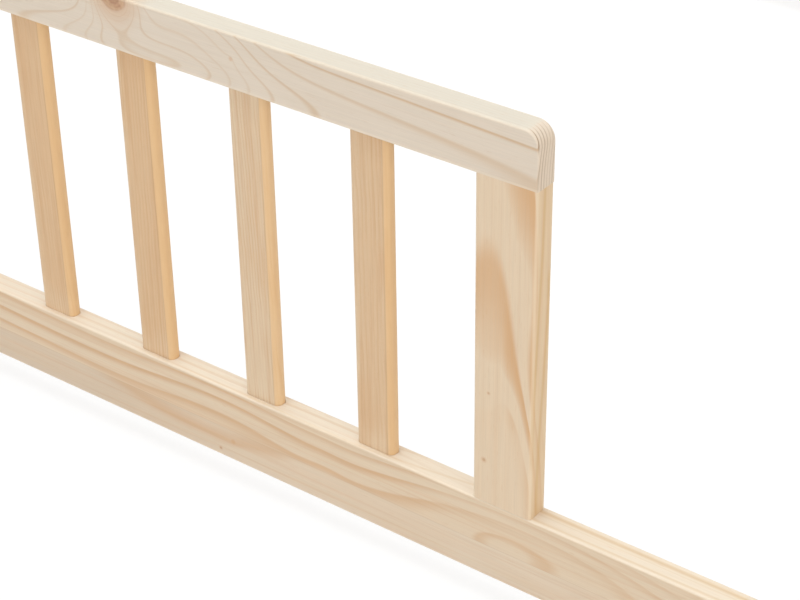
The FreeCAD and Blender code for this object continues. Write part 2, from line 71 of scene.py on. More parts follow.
MM = 0.001
ALONG, WIDE, UP = (1, 0, 0), (0, 1, 0), (0, 0, 1)
WHITE = (1, 1, 1, 1)
KINDS = {float: "Float", int: "Int", 3: "Vector", 4: "Color"}
scene = bpy.context.scene
scene.view_settings.view_transform = "Standard"


def connect(socket, value):
    """Links another socket to an input, or sets a plain value on it."""
    if isinstance(value, bpy.types.NodeSocket):
        socket.id_data.links.new(value, socket)
    else:
        socket.default_value = value


def add(tree, kind, inputs=None, **settings):
    """New node: settings are its properties, inputs are sockets to link or plain values."""
    made = tree.nodes.new(kind)
    for name, value in settings.items():
        setattr(made, name, value)
    for key, value in (inputs or {}).items():
        connect(made.inputs[key], value)
    return made


def out(tree, kind, inputs=None, **settings):
    """First output of a new node."""
    return add(tree, kind, inputs, **settings).outputs[0]


def tree_of(*values):
    """Node tree of the first socket among sockets and plain values."""
    return next(value.id_data for value in values if isinstance(value, bpy.types.NodeSocket))


def calc(operation, *values):
    return out(tree_of(*values), "ShaderNodeMath", dict(enumerate(values)), operation=operation)


SUMS = ("ADD", "SUBTRACT", "DIVIDE", "MULTIPLY_ADD")
plus, minus, over, times_plus = (partial(calc, operation) for operation in SUMS)


def times(*values):
    return reduce(lambda product, value: calc("MULTIPLY", product, value), values)


def rest(share):
    """What a share leaves of 1."""
    return minus(1, share)


def calc_vector(operation, *values):
    made = add(tree_of(*values), "ShaderNodeVectorMath", dict(enumerate(values)), operation=operation)
    return made.outputs["Value" if operation in ("LENGTH", "DOT_PRODUCT") else "Vector"]


def scaled(vector, amount):
    inputs = {0: vector, "Scale": amount}
    return out(tree_of(vector, amount), "ShaderNodeVectorMath", inputs, operation="SCALE")


def in_mm(point):
    return calc_vector("MULTIPLY", point, (1000, 1000, 1000))


def flat(vector):
    """The part of a vector across the third axis."""
    return calc_vector("MULTIPLY", vector, (1, 1, 0))


def split(vector):
    """Sockets X, Y and Z of a vector."""
    return add(vector.id_data, "ShaderNodeSeparateXYZ", {0: vector}).outputs


def upright(height):
    """Vector that points up."""
    return out(height.id_data, "ShaderNodeCombineXYZ", {"Z": height})


def between(value, start, end, low=0.0, high=1.0):
    """Smooth change from low to high while a value goes from a start to an end."""
    inputs = {"Value": value, "From Min": start, "From Max": end, "To Min": low, "To Max": high}
    return out(value.id_data, "ShaderNodeMapRange", inputs, interpolation_type="SMOOTHSTEP")


def weigh(share, first, second):
    return out(tree_of(share, first, second), "ShaderNodeMix", {0: share, 2: first, 3: second})


def mix(share, first, second, blend="MIX"):
    inputs = {0: share, 6: first, 7: second}
    tree = tree_of(share, first, second)
    return add(tree, "ShaderNodeMix", inputs, data_type="RGBA", blend_type=blend).outputs[2]


def dice(number):
    """A random value from 0 to 1 that follows from a number."""
    made = add(number.id_data, "ShaderNodeTexWhiteNoise", {"W": number}, noise_dimensions="1D")
    return made.outputs["Value"]


def new_group(name, outputs=None, **inputs):
    """New node group: a shader group with its outputs, or a geometry group, which gives one geometry. Each
    input comes with its plain value, or with its kind where it has none."""
    tree = bpy.data.node_groups.new(name, "ShaderNodeTree" if outputs else "GeometryNodeTree")
    for label, value in titled(inputs).items():
        sort = len(value) if isinstance(value, tuple) else type(value)
        kind = value if sort is str else KINDS[sort]
        socket = tree.interface.new_socket(label, in_out="INPUT", socket_type=f"NodeSocket{kind}")
        if kind is not value:
            socket.default_value = value
    for label, kind in (outputs or {"Geometry": "Geometry"}).items():
        tree.interface.new_socket(label, in_out="OUTPUT", socket_type=f"NodeSocket{kind}")
    given = dict(zip(inputs, tree.nodes.new("NodeGroupInput").outputs))
    return tree, SimpleNamespace(**given), tree.nodes.new("NodeGroupOutput").inputs


def titled(values):
    """Values by the labels of a group's inputs, from names in small letters."""
    return {name.replace("_", " ").title(): value for name, value in values.items()}


def new_object(name, data):
    made = bpy.data.objects.new(name, data)
    scene.collection.objects.link(made)
    return made


def empty_material(name):
    material = bpy.data.materials.new(name)
    material.use_nodes = True
    material.node_tree.nodes.clear()
    return material


def colour(red, green, blue):
    """Colour as seen on a screen, 0 to 255, as the linear light that Blender mixes."""
    shares = [value / 255 for value in (red, green, blue)]
    return tuple(s / 12.92 if s <= 0.04045 else ((s + 0.055) / 1.055) ** 2.4 for s in shares) + (1.0,)


def corners_of(node):
    """Lowest and highest corner of a CAD node."""
    return [Vector(corner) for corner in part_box(node)]


def middle_of(node):
    return sum(corners_of(node), Vector()) / 2


low, high = (Vector(corner) for corner in cad_box)
print("the bed is", [round(side, 3) for side in high - low], "m;", len(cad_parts), "CAD nodes")

# %% [markdown]
# ## Camera
# The picture looks down at the free end of the guard from the front right. A long lens keeps the rails almost
# parallel. The camera could be aimed at a target, but a measured place and three angles say it exactly.

# %% Camera
SENSOR_WIDTH = 36
FOCAL_PIXELS, PICTURE_PIXELS = 2123.43, 800
CAMERA_PLACE = (1.01160, -1.54921, 1.03590)
AZIMUTH, ELEVATION, ROLL = (math.radians(angle) for angle in (37.1266, 32.2915, -0.8516))

camera_data = bpy.data.cameras.new("camera")
camera_data.sensor_width = SENSOR_WIDTH
camera_data.lens = SENSOR_WIDTH * FOCAL_PIXELS / PICTURE_PIXELS
camera = new_object("camera", camera_data)
back = Vector((math.sin(AZIMUTH) * math.cos(ELEVATION), -math.cos(AZIMUTH) * math.cos(ELEVATION),
               math.sin(ELEVATION)))
level = Vector((math.cos(AZIMUTH), math.sin(AZIMUTH), 0))
right = level * math.cos(ROLL) + back.cross(level) * math.sin(ROLL)
turn = Matrix((right, back.cross(right), back)).transposed()
camera.matrix_world = Matrix.Translation(CAMERA_PLACE) @ turn.to_4x4()
scene.camera = camera
print("lens", round(camera_data.lens, 1), "mm")

# %% [markdown]
# ## Floor and light
# The bed stands on a white floor without an edge. The floor adds its own white only for the eye, and a little
# more of it far from the bed, so it stays white and still takes a soft shadow. Big soft lamps above and
# around act like a studio tent: wood looks best in light without hard shadows. The tops of the rails get a
# little more light than the fronts, and a weak lamp behind keeps the rear from going grey.

# %% Floor
FLOOR_REACH = 14.0
FLOOR_SHADE, FLOOR_BOUNCE = (0.2, 0.2, 0.2, 1), (0.8, 0.8, 0.8, 1)
FLOOR_GLOW = {"From Min": 1.5, "From Max": 5.0, "To Min": 0.82, "To Max": 0.93}
SKY_TONE, SKY_STRENGTH = (1, 0.99, 0.97, 1), 0.5


def seen_by_eye(tree):
    """1 for rays that make the picture, and 0 for rays that only carry light."""
    rays = add(tree, "ShaderNodeLightPath").outputs
    mirrored = calc("MAXIMUM", rays["Is Glossy Ray"], rays["Is Transmission Ray"])
    return calc("MAXIMUM", rays["Is Camera Ray"], mirrored)


def white_ground(name):
    material = empty_material(name)
    tree = material.node_tree
    from_bed = calc_vector("LENGTH", add(tree, "ShaderNodeTexCoord").outputs["Object"])
    strength = out(tree, "ShaderNodeMapRange", {"Value": from_bed, **FLOOR_GLOW})
    lit = out(tree, "ShaderNodeBsdfDiffuse", {"Color": FLOOR_SHADE})
    glow = out(tree, "ShaderNodeEmission", {"Color": WHITE, "Strength": strength})
    shown = out(tree, "ShaderNodeAddShader", {0: lit, 1: glow})
    bounce = out(tree, "ShaderNodeBsdfDiffuse", {"Color": FLOOR_BOUNCE})
    either = out(tree, "ShaderNodeMixShader", {0: seen_by_eye(tree), 1: bounce, 2: shown})
    add(tree, "ShaderNodeOutputMaterial", {"Surface": either})
    return material


corners = [(x * FLOOR_REACH, y * FLOOR_REACH, 0) for x, y in ((-1, -1), (1, -1), (1, 1), (-1, 1))]
floor_mesh = bpy.data.meshes.new("floor")
floor_mesh.from_pydata(corners, [], [(0, 1, 2, 3)])
floor_mesh.materials.append(white_ground("floor_white"))
floor = new_object("floor", floor_mesh)

world = bpy.data.worlds.new("studio")
scene.world = world
world.use_nodes = True
sky = world.node_tree
sky.nodes.clear()
soft = out(sky, "ShaderNodeBackground", {"Color": SKY_TONE, "Strength": SKY_STRENGTH})
white = out(sky, "ShaderNodeBackground", {"Color": WHITE, "Strength": 1.0})
either = out(sky, "ShaderNodeMixShader", {0: seen_by_eye(sky), 1: soft, 2: white})
add(sky, "ShaderNodeOutputWorld", {"Surface": either})
print("floor", 2 * FLOOR_REACH, "m wide")


# %% Lamps
def lamp(name, place, target, size, watts, tone):
    data = bpy.data.lights.new(name, "AREA")
    data.color = tone
    data.shape = "DISK"
    data.size = size
    data.energy = watts
    aim = Vector(target) - Vector(place)
    turn = aim.to_track_quat("-Z", "Y").to_matrix().to_4x4()
    made = new_object(name, data)
    made.matrix_world = Matrix.Translation(place) @ turn
    return made


lamps = [
    lamp("lamp_above", (-0.4, -0.6, 4.4), (0.0, -0.2, 0.3), 3.0, 121, (0.9, 0.97, 1.0)),
    lamp("lamp_front", (-0.6, -4.2, 2.2), (0.0, -0.3, 0.4), 2.6, 34, (1.0, 0.99, 0.97)),
    lamp("lamp_right", (4.6, -1.6, 1.8), (0.2, -0.3, 0.4), 2.6, 75, (1.0, 0.93, 0.82)),
    lamp("lamp_rear", (0.6, 4.6, 2.4), (0.0, 0.3, 0.5), 2.6, 24, (1.0, 0.98, 0.95)),
]
print(len(lamps), "lamps")

# %% [markdown]
# ## Pine: growth rings
# A pine board is a slice of a log. Each year adds a pale layer and a thin tan one, and every face of the
# board shows where it cuts these layers. An image of planks would not meet at the edges of a board, so the
# layers are a solid pattern: a count of years at each point, and the wood's colour follows the fraction of
# that count. A branch lifts the layers round it, and runs along the third axis of the board. Its knot and its
# lift are groups of their own, placed by each board.

# %% Knots
KNOT_CELL, KNOT_SHIFT, KNOT_SCATTER = (380, 90, 1), (4.37, 2.71, 0), 0.9
KNOT_SMALLEST, KNOT_GROWTH = 2.5, 6.5
KNOT_FADING, KNOT_LIFT, NO_KNOT = -0.4, -0.55, 90

placed_knot, given, result = new_group(
    "placed_knot", dict(Lift="Float", Distance="Float"),
    board_point="Vector", place=(0, 0, 0), radius=8.0, reach=30.0, lift=-5.0, faintness=0.0,
)
away = calc_vector("SUBTRACT", in_mm(given.board_point), given.place)
distance = calc_vector("LENGTH", flat(away))
fading = calc("EXPONENT", over(times(distance, -1), given.reach))
connect(result["Lift"], times(fading, given.lift))
distance = calc("MAXIMUM", over(distance, given.radius), given.faintness)
connect(result["Distance"], distance)

ring_swell, given, result = new_group(
    "ring_swell", dict(Lift="Float"),
    board_point="Vector", place=(0, 0, 0), reach=(60, 60, 60), lift=-3.0,
)
away = calc_vector("SUBTRACT", in_mm(given.board_point), given.place)
away = flat(calc_vector("DIVIDE", away, given.reach))
fading = calc("EXPONENT", times(calc_vector("DOT_PRODUCT", away, away), -1))
connect(result["Lift"], times(fading, given.lift))

scattered_knots, given, result = new_group(
    "scattered_knots", dict(Lift="Float", Distance="Float"),
    board_point="Vector", board=0.0, share=0.4,
)
cells = calc_vector("DIVIDE", in_mm(given.board_point), KNOT_CELL)
cells = calc_vector("ADD", cells, scaled(KNOT_SHIFT, given.board))
spots = add(scattered_knots, "ShaderNodeTexVoronoi",
            {"Vector": cells, "Scale": 1.0, "Randomness": KNOT_SCATTER}, voronoi_dimensions="2D").outputs
away = calc_vector("MULTIPLY", calc_vector("SUBTRACT", cells, spots["Position"]), KNOT_CELL)
distance = calc_vector("LENGTH", flat(away))
chance = add(scattered_knots, "ShaderNodeSeparateColor", {0: spots["Color"]}).outputs
here = calc("LESS_THAN", chance["Red"], given.share)
radius = times_plus(chance["Green"], KNOT_GROWTH, KNOT_SMALLEST)
fading = calc("EXPONENT", over(times(distance, KNOT_FADING), radius))
connect(result["Lift"], times(fading, KNOT_LIFT, radius, here))
distance = plus(over(distance, radius), times(rest(here), NO_KNOT))
connect(result["Distance"], distance)
print("knot groups:", placed_knot.name, ring_swell.name, scattered_knots.name)

# %% Grain
# Noise: sizes in millimetres along and across the grain, then detail and roughness. Patches also have the
# levels of the noise at which they begin and are full.
SWAY, RIPPLE, FIBRES = (210, 42), (60, 14, 1.0), (45, 0.8, 3.0, 0.6)
GAPS, CLOUDS = ((230, 55, 1.0), (0.45, 0.65)), ((260, 30, 2.0, 0.55), (0.42, 0.72))
STREAKS, DASHES = ((330, 3.6, 3.0, 0.6), (0.45, 0.7)), ((9, 0.7, 1.0), (0.66, 0.76))
KNOT_STREAKS = ((5, 5, 2.0), (0.4, 0.65))
RIPPLE_SHARE, END_SOFTNESS, DASH_STRENGTH = 0.22, 0.5, 0.22
FACE_BLEND, FACE_COVER, FACE_LINES = 0.6, 0.9, -0.3
KNOT_RIPPLE, KNOT_WAVES = 0.5, 26
HALO_STRENGTH, KNOT_STREAK_STRENGTH, HEART_STRENGTH = 0.4, 0.6, 0.92
BOARDS_APART, YEARS_APART = (173.3, 59.1, 83.7), 31.7
SAWN_LINE, KNOT_HALO, KNOT_HEART = colour(140, 112, 90), colour(206, 158, 112), colour(150, 102, 78)
KNOT_DARK, KNOT_LIGHT, KNOT_STREAK = colour(178, 132, 102), colour(192, 150, 118), colour(206, 172, 138)

pine_grain, given, result = new_group(
    "pine_grain", dict(Color="Color", Roughness="Float", Height="Float"),
    board_point="Vector", board=0.0, start=0.0, ring_width=4.0, slope_along=0.0, slope_across=0.03, cup=0.0,
    wander=0.4, lift=0.0, knot_distance=99.0, softness=0.55, fall=0.055, body=1.6, ring_variety=0.6,
    line_strength=0.6, tint_strength=0.4, sap_level=9999.0, sap_wood=colour(228, 213, 195),
    pale_wood=colour(226, 208, 184), ring_line=colour(203, 158, 108), tint=colour(214, 172, 130),
    streak_strength=0.12, fade=0.3, end_grain=0.0, end_contrast=0.45,
)
point = in_mm(given.board_point)
log_point = calc_vector("ADD", point, scaled(BOARDS_APART, given.board))


def noise(along, across, detail=2.0, roughness=0.5):
    """Cloudy noise drawn out along the grain."""
    vector = calc_vector("DIVIDE", log_point, (along, across, across))
    inputs = {"Vector": vector, "Scale": 1.0, "Detail": detail, "Roughness": roughness}
    return out(pine_grain, "ShaderNodeTexNoise", inputs)


def patches(sizes, levels):
    return between(noise(*sizes), *levels)


# The count of years, and the tan line that ends each year.
axes = split(point)
ripple = minus(noise(*RIPPLE), 0.5)
sway = times_plus(ripple, RIPPLE_SHARE, minus(noise(*SWAY), 0.5))
years = over(axes["Z"], given.ring_width)
for amount, slope in ((axes["Y"], given.slope_across), (axes["X"], given.slope_along),
                      (times(axes["Y"], axes["Y"]), given.cup), (sway, given.wander)):
    years = times_plus(amount, slope, years)
years = plus(plus(years, given.lift), given.start)
season = calc("FRACT", years)
luck = dice(times_plus(given.board, YEARS_APART, calc("FLOOR", years)))
peak = rest(given.fall)
onset = minus(peak, weigh(given.end_grain, given.softness, END_SOFTNESS))
rise = calc("POWER", between(season, onset, peak), given.body)
faint = rest(times(luck, given.ring_variety))
fibre = noise(*FIBRES)
gone = times(patches(*GAPS), given.fade)
drop = between(season, peak, 1.0, 1.0, 0.0)
line = times(rise, drop, faint, between(fibre, 0.2, 0.6, 0.8, 1.0), rest(gone))

# The colour of the wood between the knots.
ring_tone = mix(times(given.end_grain, given.end_contrast), given.ring_line, SAWN_LINE)
strength = weigh(given.end_grain, given.line_strength, 1.0)
wood = mix(times(line, strength), given.pale_wood, ring_tone)
cloud = patches(*CLOUDS)
wood = mix(times(cloud, given.tint_strength), wood, given.tint)
streaks = patches(*STREAKS)
wood = mix(times(streaks, given.streak_strength), wood, given.ring_line)
# A face past a level takes another tone: painted paler, cooler top light on rails, edge wood on the end
# board.
above = minus(axes["Y"], given.sap_level)
cover = times_plus(line, FACE_LINES, FACE_COVER)
covered = times(between(above, -FACE_BLEND, FACE_BLEND), cover, rest(given.end_grain))
wood = mix(covered, wood, given.sap_wood)
shade = between(fibre, 0.25, 0.75, 0.965, 1.03)
shade = out(pine_grain, "ShaderNodeCombineColor", {0: shade, 1: shade, 2: shade})
wood = mix(1.0, wood, shade, "MULTIPLY")
dash = patches(*DASHES)
wood = mix(times(dash, DASH_STRENGTH), wood, given.ring_line)

# The knots.
knot_edge = times_plus(ripple, KNOT_RIPPLE, given.knot_distance)
halo = between(knot_edge, 0.9, 2.6, 1.0, 0.0)
wood = mix(times(halo, HALO_STRENGTH), wood, KNOT_HALO)
knot_rings = between(calc("SINE", times(knot_edge, KNOT_WAVES)), -1.0, 1.0)
knot_wood = mix(knot_rings, KNOT_DARK, KNOT_LIGHT)
streak = patches(*KNOT_STREAKS)
knot_wood = mix(times(streak, KNOT_STREAK_STRENGTH), knot_wood, KNOT_STREAK)
knot_wood = mix(between(knot_edge, 0.0, 0.7, 0.75, 0.0), knot_wood, KNOT_HEART)
heart = between(knot_edge, 0.74, 1.1, 1.0, 0.0)
connect(result["Color"], mix(times(heart, HEART_STRENGTH), wood, knot_wood))

rough = times_plus(line, 0.1, between(fibre, 0.2, 0.8, 0.5, 0.62))
connect(result["Roughness"], times_plus(heart, -0.15, rough))
relief = times_plus(line, 0.1, fibre)
connect(result["Height"], times_plus(dash, -0.25, relief))
print("pine grain has", len(pine_grain.nodes), "nodes")

# %% [markdown]
# ## Sanded edges
# The long edges of every board are rounded and sanded by hand, so a narrow strip along them is a little paler
# and smoother than the faces. A bevel or pointiness mask needs a joined mesh, which CAD nodes don't have. The
# board's own half width and half depth say just as well how near an edge is. The strip can lean to one edge
# only, and a fine rim marks the line where the rounding begins.

# %% Sanded edges
sanded_edge, given, result = new_group(
    "sanded_edge", dict(Edge="Float", Rim="Float"),
    board_point="Vector", half_width=20.0, half_depth=10.0, strip=2.5, lean=0.0,
)
axes = split(in_mm(given.board_point))
off_middle = weigh(given.lean, calc("ABSOLUTE", axes["Y"]), axes["Y"])
inside = [minus(given.half_width, off_middle),
          minus(given.half_depth, calc("ABSOLUTE", axes["Z"]))]
near = [rest(calc("MINIMUM", over(one, given.strip), 1)) for one in inside]
connect(result["Edge"], between(times(*near), 0.0, 0.5))
rim = calc("ABSOLUTE", minus(inside[0], given.strip))
connect(result["Rim"], between(rim, 0.1, 0.7, 1.0, 0.0))
print("edge strip group ready")

# %% [markdown]
# ## A board's finish
# One helper dresses a board. It turns the pattern so that the grain follows the board, centres it, and places
# the shared groups with that board's own values. A value can change in part of a board, as real growth lines
# do, and a board can be glued up from two strips, each with a figure of its own. The plain numbers, such as
# the faint gloss of sanded pine, stay on the shader itself.

# %% A board's finish
EDGE_WOOD, RIM_TONE, GLUE_TONE = colour(238, 222, 200), colour(184, 142, 100), colour(186, 150, 112)
BARE_WOOD = {"Specular IOR Level": 0.35}
END_CUT, SEAM_BLEND, GLUE_LINE, EDGE_POLISH = (0.2, 0.75), 0.15, (0.1, 0.5, 0.22, 0.0), -0.08
# Relief: strength of the bump, and its depth in metres.
PINE_RELIEF, ZINC_RELIEF, BEECH_RELIEF = (0.25, 0.0003), (0.12, 0.0001), (0.2, 0.0002)


def group_node(tree, group, **values):
    return add(tree, "ShaderNodeGroup", titled(values), node_tree=group).outputs


def figure(point, board, knots, share, **grain):
    """Colour, roughness and height of one strip of wood with its knots and its bent layers."""
    tree = point.id_data
    lift, near = group_node(tree, scattered_knots, board_point=point, board=board, share=share)
    for values in knots:
        is_knot = "radius" in values
        one = group_node(tree, placed_knot if is_knot else ring_swell, board_point=point, **values)
        lift = plus(lift, one["Lift"])
        if is_knot:
            near = calc("MINIMUM", near, one["Distance"])
    return group_node(tree, pine_grain, board_point=point, board=board, lift=lift, knot_distance=near,
                      **grain)


def settled(point, values):
    """The values of a figure, with each one that depends on the place worked out there."""
    return {label: value(point) if callable(value) else value for label, value in values.items()}


def coat(tone, rough, height, relief, values):
    """Shader and relief of a material; the values are plain numbers on the shader."""
    tree = tone.id_data
    bump = out(tree, "ShaderNodeBump", {"Strength": relief[0], "Distance": relief[1], "Height": height})
    inputs = {"Base Color": tone, "Roughness": rough, "Normal": bump, **values}
    add(tree, "ShaderNodeOutputMaterial", {"Surface": out(tree, "ShaderNodeBsdfPrincipled", inputs)})


def finish_pine(material, place, half, knots, share, edge_tone=0.3, edge_colour=EDGE_WOOD, edge=None,
                rim_tone=0.0, fibres=None, glued=None, **grain):
    """Wires the shared groups to the shader of a board, from the board's own coordinates."""
    tree = material.node_tree
    point, board = place(tree)
    if fibres:
        outward = add(tree, "ShaderNodeNewGeometry").outputs["Normal"]
        cut_across = calc("ABSOLUTE", calc_vector("DOT_PRODUCT", outward, fibres))
        grain["end_grain"] = between(cut_across, *END_CUT)
    grain = settled(point, grain)
    tone, rough, height = figure(point, board, knots, share, **grain)
    if glued:
        seam = glued.pop("seam")
        other = figure(point, **{**grain, "share": share, **settled(point, glued)})
        across = minus(split(in_mm(point))["Y"], seam)
        below = between(across, -SEAM_BLEND, SEAM_BLEND, 1.0, 0.0)
        tone = mix(below, tone, other["Color"])
        rough = weigh(below, rough, other["Roughness"])
        height = weigh(below, height, other["Height"])
        tone = mix(between(calc("ABSOLUTE", across), *GLUE_LINE), tone, GLUE_TONE)
    strip, rim = group_node(tree, sanded_edge, board_point=point, half_width=half[0], half_depth=half[1],
                            **(edge or {}))
    tone = mix(times(strip, edge_tone), tone, edge_colour)
    tone = mix(times(rim, rim_tone), tone, RIM_TONE)
    coat(tone, times_plus(strip, EDGE_POLISH, rough), height, PINE_RELIEF, BARE_WOOD)


def pine_board(node, board, grain, across, origin=None, knots=(), share=0.35, **values):
    """New pine material for one CAD board, with the grain as X and the width as Y of its own axes."""
    lowest, highest = corners_of(node)
    middle = Vector(origin or middle_of(node))
    grain, across = Vector(grain).normalized(), Vector(across).normalized()
    axes = Matrix((grain, across, grain.cross(across)))
    size = [abs(axis.dot(highest - lowest)) for axis in axes]
    half = values.pop("half", (size[1] / 2 / MM, size[2] / 2 / MM))

    def place(tree):
        here = add(tree, "ShaderNodeTexCoord").outputs["Object"]
        inputs = {"Vector": here, "Location": -(axes @ middle), "Rotation": axes.to_euler()}
        return out(tree, "ShaderNodeMapping", inputs), board

    material = empty_material(f"pine_{node}")
    finish_pine(material, place, half, knots, share, fibres=tuple(grain), **values)
    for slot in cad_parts[node].material_slots:
        slot.material = material


def partly(value, *changes):
    """A value of the grain that changes in parts of a board. A change is an amount and then its limits, and
    each limit is an axis, a start and an end."""
    def at(point):
        axes = split(in_mm(point))
        total = value
        for amount, *limits in changes:
            for axis, start, end in limits:
                amount = times(between(axes[axis], start, end), amount)
            total = plus(amount, total)
        return total
    return at


def knot(along, across, radius, reach, lift, faintness=0.0):
    """A branch; a faint one leaves only a fleck."""
    return dict(place=(along, across, 0), radius=radius, reach=reach, lift=lift, faintness=faintness)


def swell(along, across, reach_along, reach_across, lift):
    """A bend of the growth layers."""
    return dict(place=(along, across, 0), reach=(reach_along, reach_across, 1), lift=lift)


print("board helpers ready")

# %% [markdown]
# ## Guard boards
# The guard beside the entry is what the picture shows best. Its top rail is pale and cool, with growth lines
# that sweep round a knot and then run out along the rail. The end board has one broad orange band. The bottom
# rail is glued up from two strips: long streaks and an eye-shaped figure above a straight seam, plain wood
# below it. Each board gets the slopes of its own layers instead of a random pattern. On the rail's top and
# the end board's side a few golden lines run along the sawn edge, so these are placed one by one. The seam is
# only drawn: the strips are flush, so a cut in the mesh would add nothing that shows.

# %% Guard boards
free_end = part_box("front_top_rail")[1][0]
_, rail_line, top_middle = middle_of("front_top_rail")
low_middle = middle_of("front_bottom_rail").z
# Lines on a sawn edge: along the board from and to, level in its depth there, half the width, strength.
RAIL_EDGE_LINES = (
    (-470, -150, 1.0, -3.0, 2.2, 0.22), (-150, -95, -3.5, -9.0, 1.5, 0.30), (-130, -20, 6.0, -4.3, 2.0, 0.35),
    (-20, 400, -4.3, -4.0, 3.2, 0.66), (-10, 330, 6.6, 6.8, 2.0, 0.44), (-10, 300, -0.4, 0.2, 1.2, 0.22),
    (-330, -150, 7.4, 9.2, 1.6, 0.30),
)
END_EDGE_LINES = (
    (-80, 134, -9.5, -1.5, 3.4, 0.9), (-124, 60, -2.5, 6.0, 3.4, 0.85), (-134, -75, -1.0, -1.0, 6.0, 0.45),
)
LINE_RUN_OUT, GOLDEN_LINE = 15, colour(210, 178, 132)
ROUND_THE_EYE = (("X", -75, -55), ("X", 40, 22), ("Y", 12, 8))


def painted_shade_along(wood, darker, start, end):
    """Wood with painted shade that deepens along a board, from a start to an end."""
    return lambda point: mix(between(split(in_mm(point))["X"], start, end), wood, darker)


def lined_edge(wood, lines):
    """A face tone with golden growth lines along the sawn edge; on a rail's top the tone is painted light."""
    def at(point):
        axes = split(in_mm(point))
        tone = wood
        for start, end, first, last, width, strength in lines:
            level = between(axes["X"], start, end, first, last)
            off = calc("ABSOLUTE", minus(axes["Z"], level))
            amount = times(between(off, 0, width, strength, 0.0),
                           between(axes["X"], start - LINE_RUN_OUT, start),
                           between(axes["X"], end + LINE_RUN_OUT, end))
            tone = mix(amount, tone, GOLDEN_LINE)
        return tone
    return at


pine_board(
    "front_top_rail", 9.97, ALONG, UP, (free_end, rail_line, top_middle),
    knots=(knot(-370, 22, 13.0, 14.8, -19.5), knot(-259, 1.9, 1.0, 8.0, -0.58, 1.0),
           swell(-330.5, -20.4, 99.5, 17.4, -3.49), swell(-299.5, 16.6, 57.8, 37.8, -3.8)),
    share=0.0, start=-32.767, ring_width=3.2, slope_along=0.00304, slope_across=0.04716, cup=0.00112,
    wander=0.1, softness=0.2, fall=0.1, body=1.5, ring_variety=0.85, line_strength=0.85, tint_strength=0.12,
    # Top face: plainer lines, and a cooler tone that is painted light from the lamp above.
    sap_level=21.0, fade=0.0, streak_strength=0.06, end_contrast=0.8, sap_wood=colour(216, 208, 194),
    pale_wood=colour(221, 207, 191), ring_line=colour(203, 170, 134), tint=colour(220, 200, 178),
)
pine_board(
    "front_end_board", 1.57, UP, ALONG, start=1.693, ring_width=7.0, slope_along=0.00849,
    slope_across=0.01179, cup=0.00052, share=0.0, wander=0.1, softness=0.5, body=0.45, ring_variety=0.75,
    tint_strength=0.1, fade=0.0, fall=partly(
        0.1, (0.1, ("X", 10, 60), ("X", 105, 88), ("Y", 12, 4)),
        (0.1, ("X", -45, -10), ("X", 60, 15), ("Y", -4, 4), ("Y", 20, 14))),
    line_strength=partly(
        0.85, (-0.7, ("X", -28, -42), ("Y", 8, 2)), (-0.18, ("X", -10, 20), ("Y", 8, -6)),
        (-0.45, ("X", -50, -70), ("Y", -2, 5), ("Y", 22, 17))),
    knots=(knot(-97, -15.2, 1.3, 6.0, -0.1, 0.8), knot(-38, -11.8, 0.8, 4.0, -0.1, 0.97),
           swell(-46.5, 8.9, 80.4, 13.2, -1.422), swell(-22.8, 35.7, 58.2, 42.2, 1.467),
           swell(-45.5, 8.5, 140, 10.0, 0.607)),
    sap_level=23.5, sap_wood=lined_edge(colour(222, 199, 168), END_EDGE_LINES),
    pale_wood=colour(225, 203, 176), ring_line=colour(208, 160, 111), tint=colour(222, 190, 154),
)
pine_board(
    "front_bottom_rail", 3.29, ALONG, UP, (free_end, rail_line, low_middle), start=-0.365,
    ring_width=7.0, slope_along=0.00282, slope_across=0.07307, share=0.0, wander=0.15, fall=0.12,
    # Top face: a paler, cooler tone that is painted light from above, with golden grain lines along the sawn
    # edge.
    body=1.0, ring_variety=0.6, tint_strength=0.25, streak_strength=0.25, fade=0.0, sap_level=33.0,
    sap_wood=lined_edge(colour(230, 215, 196), RAIL_EDGE_LINES), softness=partly(0.5, (-0.1, *ROUND_THE_EYE)),
    line_strength=partly(
        0.9, (-0.45, ("X", -130, -60), ("Y", 8, 13)), (-0.45, ("X", -150, -130), ("Y", 31, 33)),
        (-0.36, *ROUND_THE_EYE), (-0.45, ("X", 22, 45), ("Y", 13, 8))),
    knots=(swell(-287.4, 15.3, 87.9, 24.3, -0.935), swell(-187.6, -30, 20.0, 57.5, -0.191),
           swell(6.0, 16.0, 135.9, 31.6, -2.875), swell(-19.4, -1.7, 20.0, 8.2, -0.714)),
    glued=dict(
        seam=-5.3, board=6.5, start=-1.1, slope_along=0.0006, slope_across=-0.004, wander=0.3, fall=0.25,
        # The lower strip turns darker towards its left end: painted shade, where less lamp light reaches.
        line_strength=0.55, pale_wood=painted_shade_along(colour(223, 206, 185), colour(214, 195, 173), -200, -430),
        knots=(knot(-294.5, -27.3, 1.1, 6.0, -0.1, 0.85), knot(-280.7, -15.5, 1.2, 6.0, -0.1, 1.0),
               swell(-312, -3, 97, 18, -0.8)),
    ),
    pale_wood=colour(223, 203, 178), ring_line=colour(206, 162, 118), tint=colour(221, 187, 152),
)
print("guard boards dressed, free end at x =", round(free_end, 4))

# %% [markdown]
# ## Slats
# Every fence is a row of the same thin slat with rounded edges, glued into mortises. They could be copied one
# by one, but a row is a rule: a count, a first place and a step. Geometry Nodes draws the slat once from its
# rounded section, sets it on a line of points, and stores each slat's own coordinates and number, so that the
# grain can differ from slat to slat. Slats are sawn from short offcuts: their lines slant, break off and come
# in other widths on each slat. The foot of a slat is painted paler, as painted light bounced up from the
# rail.

# %% Slat row
SLAT_WIDTH, SLAT_THICKNESS, SLAT_ROUND = 34 * MM, 11 * MM, 4.5 * MM
ROUND_STEPS = 8


def store(geometry, name, value, kind, domain):
    inputs = {"Geometry": geometry, "Name": name, "Value": value}
    return out(geometry.id_data, "GeometryNodeStoreNamedAttribute", inputs, data_type=kind, domain=domain)


